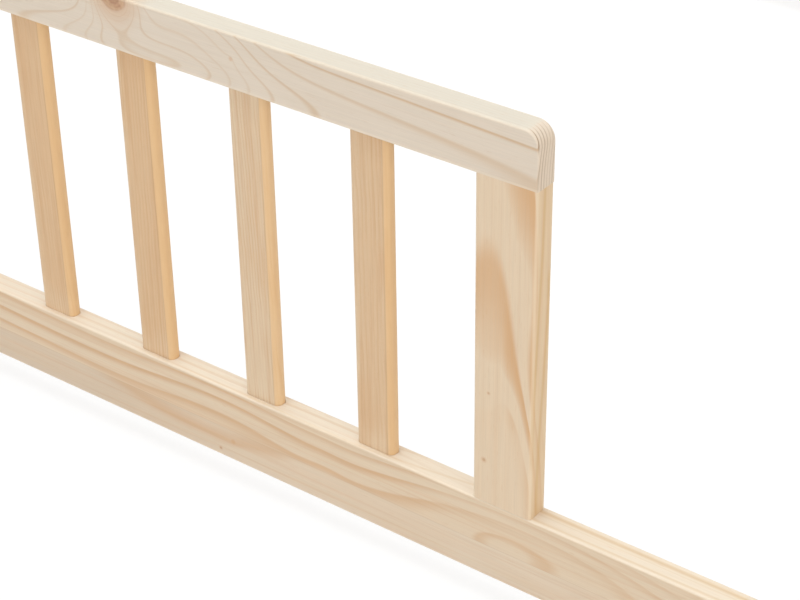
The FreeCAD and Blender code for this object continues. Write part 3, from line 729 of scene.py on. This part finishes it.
def copies(points, master, rotation, name, number_from=0.0):
    """A master set on points. Every copy keeps its own coordinates and its number, for its finish."""
    tree = points.id_data
    where = out(tree, "GeometryNodeInputPosition")
    master = store(master, f"{name}_point", where, "FLOAT_VECTOR", "POINT")
    inputs = {"Points": points, "Instance": master, "Rotation": rotation}
    row = out(tree, "GeometryNodeInstanceOnPoints", inputs)
    number = plus(out(tree, "GeometryNodeInputIndex"), number_from)
    row = store(row, f"{name}_number", number, "FLOAT", "INSTANCE")
    return out(tree, "GeometryNodeRealizeInstances", {0: row})


def dressed(row, given, result):
    """Gives the finish to a row and hands it to the group's output."""
    inputs = {"Geometry": row, "Material": given.finish}
    connect(result[0], out(row.id_data, "GeometryNodeSetMaterial", inputs))


slat_row, given, result = new_group(
    "slat_row",
    count=9, first=(0, 0, 0), step=(0.1, 0, 0), turn=0.0, length=0.3, width=SLAT_WIDTH,
    thickness=SLAT_THICKNESS, round=SLAT_ROUND, number_from=0.0, finish="Material",
)
line = out(slat_row, "GeometryNodeCurvePrimitiveLine", {"End": upright(given.length)})
section = out(slat_row, "GeometryNodeCurvePrimitiveQuadrilateral",
              {"Width": given.width, "Height": given.thickness})
section = out(slat_row, "GeometryNodeFilletCurve",
              {"Curve": section, "Radius": given.round, "Count": ROUND_STEPS}, mode="POLY")
slat = out(slat_row, "GeometryNodeCurveToMesh", {"Curve": line, "Profile Curve": section, "Fill Caps": True})
points = out(slat_row, "GeometryNodeMeshLine",
             {"Count": given.count, "Start Location": given.first, "Offset": given.step}, mode="OFFSET")
dressed(copies(points, slat, upright(given.turn), "slat", given.number_from), given, result)
print("slat row has", len(slat_row.nodes), "nodes")

# %% Slat finish
SHORT_FIGURE = 3.0
SLOPE_LOT, SLANT_LOT, TONE_LOT = 0.0, 3.7, 8.4
LIT_FOOT_HEIGHTS, CLEAN_EDGE = (45, 8), (-9, -15)
PALE_SLAT, WARM_SLAT, PALE_EDGE_AND_LIT_FOOT = colour(222, 199, 170), colour(216, 181, 142), colour(232, 212, 184)


def attribute(tree, name, kind="Vector"):
    return add(tree, "ShaderNodeAttribute", attribute_name=name).outputs[kind]


def slat_coordinates(tree):
    """Each slat's own point, with the length drawn out so that its figure is short, and the slat's number."""
    axes = split(attribute(tree, "slat_point"))
    inputs = {"X": times(axes["Z"], SHORT_FIGURE), "Y": axes["X"], "Z": axes["Y"]}
    return out(tree, "ShaderNodeCombineXYZ", inputs), attribute(tree, "slat_number", "Fac")


def slat_luck(point, lot):
    """A number from 0 to 1 for each slat; each lot gives other numbers."""
    return dice(plus(attribute(point.id_data, "slat_number", "Fac"), lot))


def by_slat(lot, least, most):
    """A value that differs from slat to slat."""
    return lambda point: between(slat_luck(point, lot), 0.0, 1.0, least, most)


def slat_tone(point):
    """Body colour of a slat; slats come from boards some paler, some warmer. The foot gets painted light."""
    body = mix(slat_luck(point, TONE_LOT), PALE_SLAT, WARM_SLAT)
    axes = split(in_mm(point))
    # Painted light: a paler foot, as light bounced up from the rail makes it. The left edge is sanded paler.
    foot = between(axes["X"], *(height * SHORT_FIGURE for height in LIT_FOOT_HEIGHTS))
    sanded_and_lit = calc("MAXIMUM", foot, between(axes["Y"], *CLEAN_EDGE))
    return mix(times(sanded_and_lit, 0.4), body, PALE_EDGE_AND_LIT_FOOT)


slat_pine = empty_material("pine_slat")
finish_pine(
    slat_pine, slat_coordinates, (SLAT_WIDTH / 2 / MM, 0.0), (), 0.06, edge_tone=0.6,
    edge_colour=colour(230, 190, 138), edge=dict(strip=4.6, lean=1.0), rim_tone=0.3,
    # Layers per millimetre: few slats are sawn quite along the grain, and some have close layers, some wide.
    slope_along=by_slat(SLANT_LOT, -0.005, 0.005), slope_across=by_slat(SLOPE_LOT, 0.2, 0.42),
    start=0.3, ring_width=9.0, wander=1.6, softness=0.7, ring_variety=0.9, line_strength=0.45, fade=0.9,
    tint_strength=0.4, streak_strength=0.3,
    pale_wood=slat_tone, ring_line=colour(199, 149, 102), tint=colour(213, 172, 130),
)
print("slat finish ready")


# %% Slats of the four fences
def grow(name, tree, slot, replaced, start=None, **values):
    """Runs a tree on an empty mesh or on places, and keeps the result as a plain mesh for the CAD nodes."""
    seed = new_object(f"{name}_seed", start or bpy.data.meshes.new(f"{name}_seed"))
    modifier = seed.modifiers.new("nodes", "NODES")
    modifier.node_group = tree
    inputs = titled(values)
    for item in tree.interface.items_tree:
        if item.in_out == "INPUT" and item.name in inputs:
            modifier[item.identifier] = inputs[item.name]
    mesh = bpy.data.meshes.new_from_object(seed.evaluated_get(bpy.context.evaluated_depsgraph_get()))
    mesh.name = name
    seed.modifiers.remove(modifier)
    bpy.data.objects.remove(seed)
    piece = new_object(name, mesh)
    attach(piece, "root")
    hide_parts(*replaced)
    print(piece.name, len(mesh.polygons), "faces")


def fence_slats(side, replaced, count, number_from, axis):
    """The row of slats of one fence, along the bed (axis 0) or across it (axis 1)."""
    first, last = corners_of(replaced[0]), corners_of(replaced[-1])
    start = min(first[0][axis], last[0][axis]) + SLAT_WIDTH / 2
    end = max(first[1][axis], last[1][axis]) - SLAT_WIDTH / 2
    place, step = middle_of(replaced[0]), Vector()
    place[axis], place.z = start, first[0].z
    step[axis] = (end - start) / (count - 1)
    grow(
        f"{side}_slat_row", slat_row, "pine_fence", replaced, count=count, first=tuple(place),
        step=tuple(step), turn=axis * math.pi / 2, length=first[1].z - first[0].z, width=SLAT_WIDTH,
        thickness=SLAT_THICKNESS, round=SLAT_ROUND, number_from=number_from, finish=slat_pine,
    )


fence_slats("front", [f"front_slat_{n:02d}" for n in range(1, 12)], 11, 1.0, 0)
fence_slats("rear", [f"rear_slat_{n:02d}" for n in range(1, 18)], 17, 21.0, 0)
fence_slats("head", ["head_slats"], 9, 41.0, 1)
fence_slats("foot", ["foot_slats"], 9, 61.0, 1)

# %% [markdown]
# ## The other rails
# The rear, head and foot fences use the same two rails as the front, sawn from other logs. They could share
# one material, but then every rail would show the same growth lines. Each rail gets its own board number,
# which moves it to another place in the log, and a few slopes drawn from that number.

# %% The other rails
FIRST_RAIL = 10.0


def timber(node, board, grain, across, **values):
    """A board outside the picture: its layers follow from its number alone."""
    draw = random.Random(board)
    chosen = dict(
        start=draw.random(), ring_width=draw.uniform(3.6, 6.5), slope_along=draw.uniform(-0.003, 0.003),
        slope_across=draw.uniform(0.03, 0.09) * draw.choice((-1, 1)), cup=draw.uniform(-0.0012, 0.0012),
        wander=draw.uniform(0.4, 1.4), softness=draw.uniform(0.35, 0.7), fall=draw.uniform(0.06, 0.12),
        ring_variety=0.6, line_strength=draw.uniform(0.6, 0.8), tint_strength=draw.uniform(0.15, 0.4),
        pale_wood=colour(226, 206, 180), ring_line=colour(208, 164, 119), tint=colour(221, 188, 152),
    )
    pine_board(node, board, grain, across, **{**chosen, **values})


for number, (side, grain) in enumerate((("rear", ALONG), ("head", WIDE), ("foot", WIDE))):
    timber(f"{side}_top_rail", FIRST_RAIL + 2 * number, grain, UP, share=0.3)
    timber(f"{side}_bottom_rail", FIRST_RAIL + 1 + 2 * number, grain, UP, share=0.4)
print("rails of the rear, head and foot dressed")

# %% [markdown]
# ## Posts, rafters and beams
# The house frame is square timber. The posts stand with the grain upright, the beams lie along the bed, and
# the rafters lean at 45 degrees, so the pattern is turned with them. Square timber is often sawn from near
# the heart of the log, so two faces show broad arches and the other two straight lines, which the solid
# pattern gives by itself.

# %% Posts, rafters and beams
FIRST_TIMBER, TIMBER_KNOTS, HALF_TIMBER = 20.0, 0.45, 22.5

board = FIRST_TIMBER
ridge = middle_of("ridge_beam")
for side, lean in (("front", 1), ("rear", -1)):
    eave = middle_of(f"eave_beam_{side}")
    for end in ("head", "foot"):
        timber(f"post_{side}_{end}", board, UP, ALONG, share=TIMBER_KNOTS)
        rafter = f"rafter_{side}_{end}"
        on_axis = (middle_of(rafter).x, eave.y / 2, (eave.z + ridge.z) / 2)
        timber(rafter, board + 1, (0, lean, 1), ALONG, origin=on_axis, half=(HALF_TIMBER, HALF_TIMBER),
               share=TIMBER_KNOTS)
        board += 2
for node in ("ridge_beam", "eave_beam_front", "eave_beam_rear"):
    timber(node, board, ALONG, UP, share=TIMBER_KNOTS)
    board += 1
print("house frame dressed,", int(board - FIRST_TIMBER), "timbers")

# %% [markdown]
# ## Joints of the bed
# A rail or beam meets its post with a dowel and a connector bolt. The bolt passes through the post into a
# barrel nut inside the rail, and the dowel stops the rail from turning. All fasteners follow from the joints:
# a place on the post's inner face, a way into the rail and the two heights.

# %% Joints
BOTTOM_SPREAD, TOP_SPREAD, BEAM_DOWEL_RISE = 15 * MM, 10 * MM, 13 * MM
INWARD = dict(front=WIDE, rear=(0, -1, 0), head=ALONG, foot=(-1, 0, 0))


def timber_joints(node, axis, bolt_rise, dowel_rise, inward, ends=(-1, 1)):
    """Joints at the ends of a rail or beam."""
    lowest, highest = corners_of(node)
    middle = middle_of(node)
    made = []
    for end in ends:
        face, way = middle.copy(), Vector()
        face[axis] = (lowest if end < 0 else highest)[axis]
        way[axis] = -end
        made.append(dict(face=face, way=way, inward=Vector(inward), bolt=middle.z + bolt_rise,
                         dowel=middle.z + dowel_rise))
    return made


def along_joint(one, distance, height):
    """Point on a joint's axis, by its distance into the rail and its height."""
    point = one["face"] + one["way"] * distance
    point.z = height
    return point


rail_joints, roof_joints = [], []
for side, inward in INWARD.items():
    axis = 0 if side in ("front", "rear") else 1
    for rail, spread in (("bottom_rail", BOTTOM_SPREAD), ("top_rail", TOP_SPREAD)):
        rise = -spread if axis else spread
        ends = (-1,) if (side, rail) == ("front", "top_rail") else (-1, 1)
        rail_joints += timber_joints(f"{side}_{rail}", axis, rise, -rise, inward, ends)
for node, side in (("eave_beam_front", "front"), ("eave_beam_rear", "rear"), ("ridge_beam", "front")):
    roof_joints += timber_joints(node, 0, 0.0, BEAM_DOWEL_RISE, INWARD[side])
print(len(rail_joints), "rail joints and", len(roof_joints), "roof joints")

# %% [markdown]
# ## Turned parts
# Bolts, nuts and dowels are turned on a lathe, so each starts as a section swept along its axis with a width
# for every ring. A spin of mesh code would do the same, but the tree keeps the sizes as named inputs and sets
# one master on all its places. A place carries two directions: the part's axis and the side it is turned to.

# %% Lathe for turned parts
SMOOTH_BELOW = math.radians(32)


def half_of(length):
    return over(length, 2)


def pick(tree, values):
    """Value of each ring by its number."""
    chooser = add(tree, "GeometryNodeIndexSwitch", data_type="FLOAT")
    for _ in values[2:]:
        chooser.index_switch_items.new()
    for number, value in enumerate((out(tree, "GeometryNodeInputIndex"), *values)):
        connect(chooser.inputs[number], value)
    return chooser.outputs[0]


def turned(section, rings):
    """Sweep of a closed section along Z; rings are pairs of height and width."""
    tree = section.id_data
    heights, widths = zip(*rings)
    line = out(tree, "GeometryNodeMeshLine", {"Count": len(rings)}, mode="OFFSET")
    inputs = {"Geometry": line, "Position": upright(pick(tree, heights))}
    line = out(tree, "GeometryNodeMeshToCurve", {"Mesh": out(tree, "GeometryNodeSetPosition", inputs)})
    inputs = {"Curve": line, "Profile Curve": section, "Scale": pick(tree, widths), "Fill Caps": True}
    return out(tree, "GeometryNodeCurveToMesh", inputs)


def circle(radius, points):
    inputs = {"Resolution": points, "Radius": radius}
    return out(radius.id_data, "GeometryNodeCurvePrimitiveCircle", inputs, mode="RADIUS")


def cylinder(sides, radius, depth, rings=1):
    inputs = {"Vertices": sides, "Side Segments": rings, "Radius": radius, "Depth": depth}
    return out(radius.id_data, "GeometryNodeMeshCylinder", inputs)


def boolean(operation, *parts, stock=None):
    """Union of some parts, or a stock with the parts cut out of it."""
    made = add(parts[0].id_data, "GeometryNodeMeshBoolean", operation=operation, solver="EXACT")
    if stock is not None:
        connect(made.inputs[0], stock)
    for part in parts:
        connect(made.inputs[1], part)
    return made.outputs[0]


def moved(geometry, place=(0, 0, 0), rotation=(0, 0, 0)):
    inputs = {"Geometry": geometry, "Translation": place, "Rotation": rotation}
    return out(geometry.id_data, "GeometryNodeTransform", inputs)


def set_on_places(given, result, master, random_turn):
    """Copies a master to every place, turned to the place's two directions, and gives it its finish."""
    tree = master.id_data
    aim, side = (out(tree, "GeometryNodeInputNamedAttribute", {"Name": label}, data_type="FLOAT_VECTOR")
                 for label in ("aim", "side"))
    facing = out(tree, "FunctionNodeAxesToRotation", {0: aim, 1: side}, primary_axis="Z", secondary_axis="X")
    chance = add(tree, "FunctionNodeRandomValue", {2: 0.0, 3: random_turn, "Seed": given.seed}).outputs[1]
    twist = out(tree, "FunctionNodeAxisAngleToRotation", {"Axis": UP, "Angle": chance})
    facing = out(tree, "FunctionNodeRotateRotation", {0: facing, 1: twist}, rotation_space="LOCAL")
    row = copies(given.places, master, facing, "part")
    bend = add(tree, "GeometryNodeInputMeshEdgeAngle").outputs["Unsigned Angle"]
    soft = out(tree, "FunctionNodeCompare", {0: bend, 1: SMOOTH_BELOW}, operation="LESS_THAN")
    for domain, smooth in (("FACE", True), ("EDGE", soft)):
        inputs = {"Geometry": row, "Shade Smooth": smooth}
        row = out(tree, "GeometryNodeSetShadeSmooth", inputs, domain=domain)
    dressed(row, given, result)


def places(rows):
    """Points for a tree to copy parts to, each with an axis and a side direction."""
    mesh = bpy.data.meshes.new("places")
    mesh.from_pydata([row[0] for row in rows], [], [])
    for label, column in (("aim", 1), ("side", 2)):
        attribute = mesh.attributes.new(label, "FLOAT_VECTOR", "POINT")
        attribute.data.foreach_set("vector", [value for row in rows for value in row[column]])
    return mesh


print("lathe helpers ready")

# %% [markdown]
# ## Zinc-plated steel
# Bolts and nuts are plain steel with a thin coat of zinc: pale grey, faintly cloudy and spangled, with fine
# rings from the lathe. The pattern reads each part's own point, so that the rings stay round the axis of
# every bolt.

# %% Zinc finish
ZINC_APART = (13.1, 7.7, 5.3)
LATHE_WAVES, SPANGLE_STRENGTH = 22, 0.18
ZINC_COOL, ZINC_WARM, ZINC_SPANGLE = colour(196, 199, 203), colour(214, 212, 205), colour(178, 184, 192)


def part_finish(name, apart):
    """New material for small parts, each part's own point, and that point moved by the part's number."""
    material = empty_material(name)
    point = in_mm(attribute(material.node_tree, "part_point"))
    number = attribute(material.node_tree, "part_number", "Fac")
    return material, point, calc_vector("ADD", point, scaled(apart, number))


zinc, part_point, zinc_point = part_finish("zinc_plated_steel", ZINC_APART)
tree = zinc.node_tree
cloud = out(tree, "ShaderNodeTexNoise", {"Vector": zinc_point, "Scale": 0.45, "Detail": 3.0})
spangle = add(tree, "ShaderNodeTexVoronoi", {"Vector": zinc_point, "Scale": 1.1}).outputs["Color"]
spangle = out(tree, "ShaderNodeSeparateColor", {0: spangle})
radius = calc_vector("LENGTH", flat(part_point))
rings = calc("SINE", times_plus(cloud, 1.5, times(radius, LATHE_WAVES)))
tone = mix(between(cloud, 0.3, 0.7), ZINC_COOL, ZINC_WARM)
tone = mix(times(spangle, SPANGLE_STRENGTH), tone, ZINC_SPANGLE)
gloss = times_plus(spangle, 0.1, between(cloud, 0.3, 0.7, 0.26, 0.4))
coat(tone, gloss, rings, ZINC_RELIEF, {"Metallic": 1.0})
print("zinc finish ready")

# %% [markdown]
# ## Connector bolts
# A connector bolt has a thin wide head with a hexagon socket and a machine thread at its tip. The head sits
# in a shallow seat in the post. The thread could be a wound strip, but a strip cuts into the shank. Here the
# rings of the shank itself are pushed in by a screw rule, so each bolt is one closed shell.

# %% Connector bolts
BOLT_HEAD_OUT = 41 * MM
HEAD_SIDES, SHANK_SIDES, THREAD_RINGS = 40, 16, 120
HEAD_RINGS = ((1.0, 0.9), (0.93, 0.96), (0.78, 0.99), (0.6, 1.0), (0.08, 1.0), (0.0, 0.985))
THREAD_DEPTH, TIP_TAPER = -0.17, -0.2

connector_bolt, given, result = new_group(
    "connector_bolt",
    places="Geometry", head_diameter=0.015, head_height=0.0025, shank_diameter=0.006, length=0.083,
    thread_length=0.03, pitch=0.001, socket_width=0.004, socket_depth=0.0016, seed=4, finish="Material",
)
below = times(given.head_height, -1)
head_rings = [(times(below, share), width) for share, width in HEAD_RINGS]
head = turned(circle(half_of(given.head_diameter), HEAD_SIDES), head_rings)
half_shank = half_of(given.shank_diameter)
bite = over(given.head_height, -4)
plain_end = minus(given.length, given.thread_length)
shank = turned(circle(half_shank, SHANK_SIDES), [(bite, 1.0), (plain_end, 1.0)])
thread = cylinder(SHANK_SIDES, half_shank, given.thread_length, THREAD_RINGS)
thread = moved(thread, upright(minus(given.length, half_of(given.thread_length))))
where = out(connector_bolt, "GeometryNodeInputPosition")
axes = split(where)
angle = over(calc("ARCTAN2", axes["Y"], axes["X"]), 2 * math.pi)
turns = calc("FRACT", minus(over(axes["Z"], given.pitch), angle))
groove = rest(calc("ABSOLUTE", times_plus(turns, 2, -1)))
started = between(minus(axes["Z"], plain_end), 0.0002, 0.0022)
taper = between(minus(given.length, axes["Z"]), 0.0, 0.001, TIP_TAPER, 0.0)
push = scaled(flat(where), plus(times(groove, started, THREAD_DEPTH), taper))
thread = out(connector_bolt, "GeometryNodeSetPosition", {"Geometry": thread, "Offset": push})
corner_radius = times(given.socket_width, 1 / math.sqrt(3))
key = moved(cylinder(6, corner_radius, times(given.socket_depth, 2)), upright(below))
bolt = boolean("DIFFERENCE", key, stock=boolean("UNION", thread, shank, head))
set_on_places(given, result, bolt, math.pi)

for name, joints, seed in (("rail", rail_joints, 4), ("roof", roof_joints, 9)):
    rows = [(along_joint(one, -BOLT_HEAD_OUT, one["bolt"]), one["way"], UP) for one in joints]
    grow(f"{name}_bolt_set", connector_bolt, "zinc_steel", [f"{name}_bolts"], places(rows), seed=seed,
         finish=zinc)

# %% [markdown]
# ## Barrel nuts
# A barrel nut is a short steel pin across the rail. The bolt screws through its side, and a slot in its end
# shows which way the threaded hole points. The pin is turned, then the hole and the slot are cut out of it.

# %% Barrel nuts
NUT_INSIDE = 35 * MM
NUT_SIDES, HOLE_SIDES, END_WIDTH, CUT_THROUGH = 36, 28, 0.9, 1.4

barrel_nut, given, result = new_group(
    "barrel_nut",
    places="Geometry", diameter=0.01, length=0.014, chamfer=0.0005, hole=0.0062, slot_width=0.0016,
    slot_depth=0.0015, seed=2, finish="Material",
)
half_length = half_of(given.length)
straight = minus(half_length, given.chamfer)
nut_rings = [(times(half_length, -1), END_WIDTH), (times(straight, -1), 1.0), (straight, 1.0),
             (half_length, END_WIDTH)]
pin = turned(circle(half_of(given.diameter), NUT_SIDES), nut_rings)
through = times(given.diameter, CUT_THROUGH)
hole = moved(cylinder(HOLE_SIDES, half_of(given.hole), through), rotation=(0, math.pi / 2, 0))
slot_size = out(barrel_nut, "ShaderNodeCombineXYZ",
                {"X": through, "Y": given.slot_width, "Z": times(given.slot_depth, 2)})
slot_box = moved(out(barrel_nut, "GeometryNodeMeshCube", {"Size": slot_size}), upright(half_length))
set_on_places(given, result, boolean("DIFFERENCE", hole, slot_box, stock=pin), 0.0)

rows = [(along_joint(one, NUT_INSIDE, one["bolt"]), one["inward"], one["way"])
        for one in rail_joints + roof_joints]
grow("barrel_nut_set", barrel_nut, "zinc_steel", ["barrel_nuts"], places(rows), finish=zinc)

# %% [markdown]
# ## Dowels
# Dowels are beech, because beech is harder than the pine round it. Fine flutes let the glue and the air out
# of the hole. The flutes are part of the section: two of every four points of a ring sit a little nearer to
# the axis.

# %% Beech finish
BEECH_APART, LONG_STREAKS, SHORT_FLECKS = (17.3, 9.1, 31.7), (1.6, 1.6, 0.06), (2.4, 2.4, 0.45)
BEECH_PALE, BEECH_DARK, BEECH_FLECK = colour(214, 180, 146), colour(196, 156, 120), colour(168, 124, 90)

beech, _, beech_point = part_finish("beech_dowel", BEECH_APART)
streaks, flecks = (
    out(beech.node_tree, "ShaderNodeTexNoise",
        {"Vector": calc_vector("MULTIPLY", beech_point, stretch), "Scale": 1.0, "Detail": detail})
    for stretch, detail in ((LONG_STREAKS, 4.0), (SHORT_FLECKS, 1.0)))
tone = mix(between(streaks, 0.3, 0.7), BEECH_PALE, BEECH_DARK)
tone = mix(times(between(flecks, 0.6, 0.68), 0.5), tone, BEECH_FLECK)
coat(tone, between(streaks, 0.3, 0.7, 0.5, 0.65), streaks, BEECH_RELIEF, BARE_WOOD)
print("beech finish ready")

# %% Fluted dowels
DOWEL_IN_POST, END_DOWEL_DOWN, END_DOWEL_ASIDE = 15 * MM, 20 * MM, 12 * MM

fluted_dowel, given, result = new_group(
    "fluted_dowel",
    places="Geometry", diameter=0.008, length=0.04, chamfer=0.001, flutes=18, flute_depth=0.00025, seed=6,
    finish="Material",
)
radius = half_of(given.diameter)
section = circle(radius, times(given.flutes, 4))
quarter = calc("MODULO", out(fluted_dowel, "GeometryNodeInputIndex"), 4)
dip = times(calc("GREATER_THAN", quarter, 1.5), over(given.flute_depth, radius))
pull = scaled(out(fluted_dowel, "GeometryNodeInputPosition"), times(dip, -1))
section = out(fluted_dowel, "GeometryNodeSetPosition", {"Geometry": section, "Offset": pull})
slim = rest(over(given.chamfer, radius))
dowel_rings = [(0.0, slim), (given.chamfer, 1.0),
               (minus(given.length, given.chamfer), 1.0), (given.length, slim)]
set_on_places(given, result, turned(section, dowel_rings), math.pi)

for name, joints in (("rail", rail_joints), ("beam", roof_joints)):
    rows = [(along_joint(one, -DOWEL_IN_POST, one["dowel"]), one["way"], UP) for one in joints]
    grow(f"{name}_dowel_set", fluted_dowel, "beech_dowel", [f"{name}_dowels"], places(rows), finish=beech)
lowest, highest = corners_of("front_end_board")
middle = middle_of("front_end_board")
rows = [((middle.x + aside, middle.y, height - END_DOWEL_DOWN), UP, ALONG)
        for aside in (-END_DOWEL_ASIDE, END_DOWEL_ASIDE) for height in (lowest.z, highest.z)]
grow("end_board_dowel_set", fluted_dowel, "beech_dowel", ["end_board_dowels"], places(rows), finish=beech)
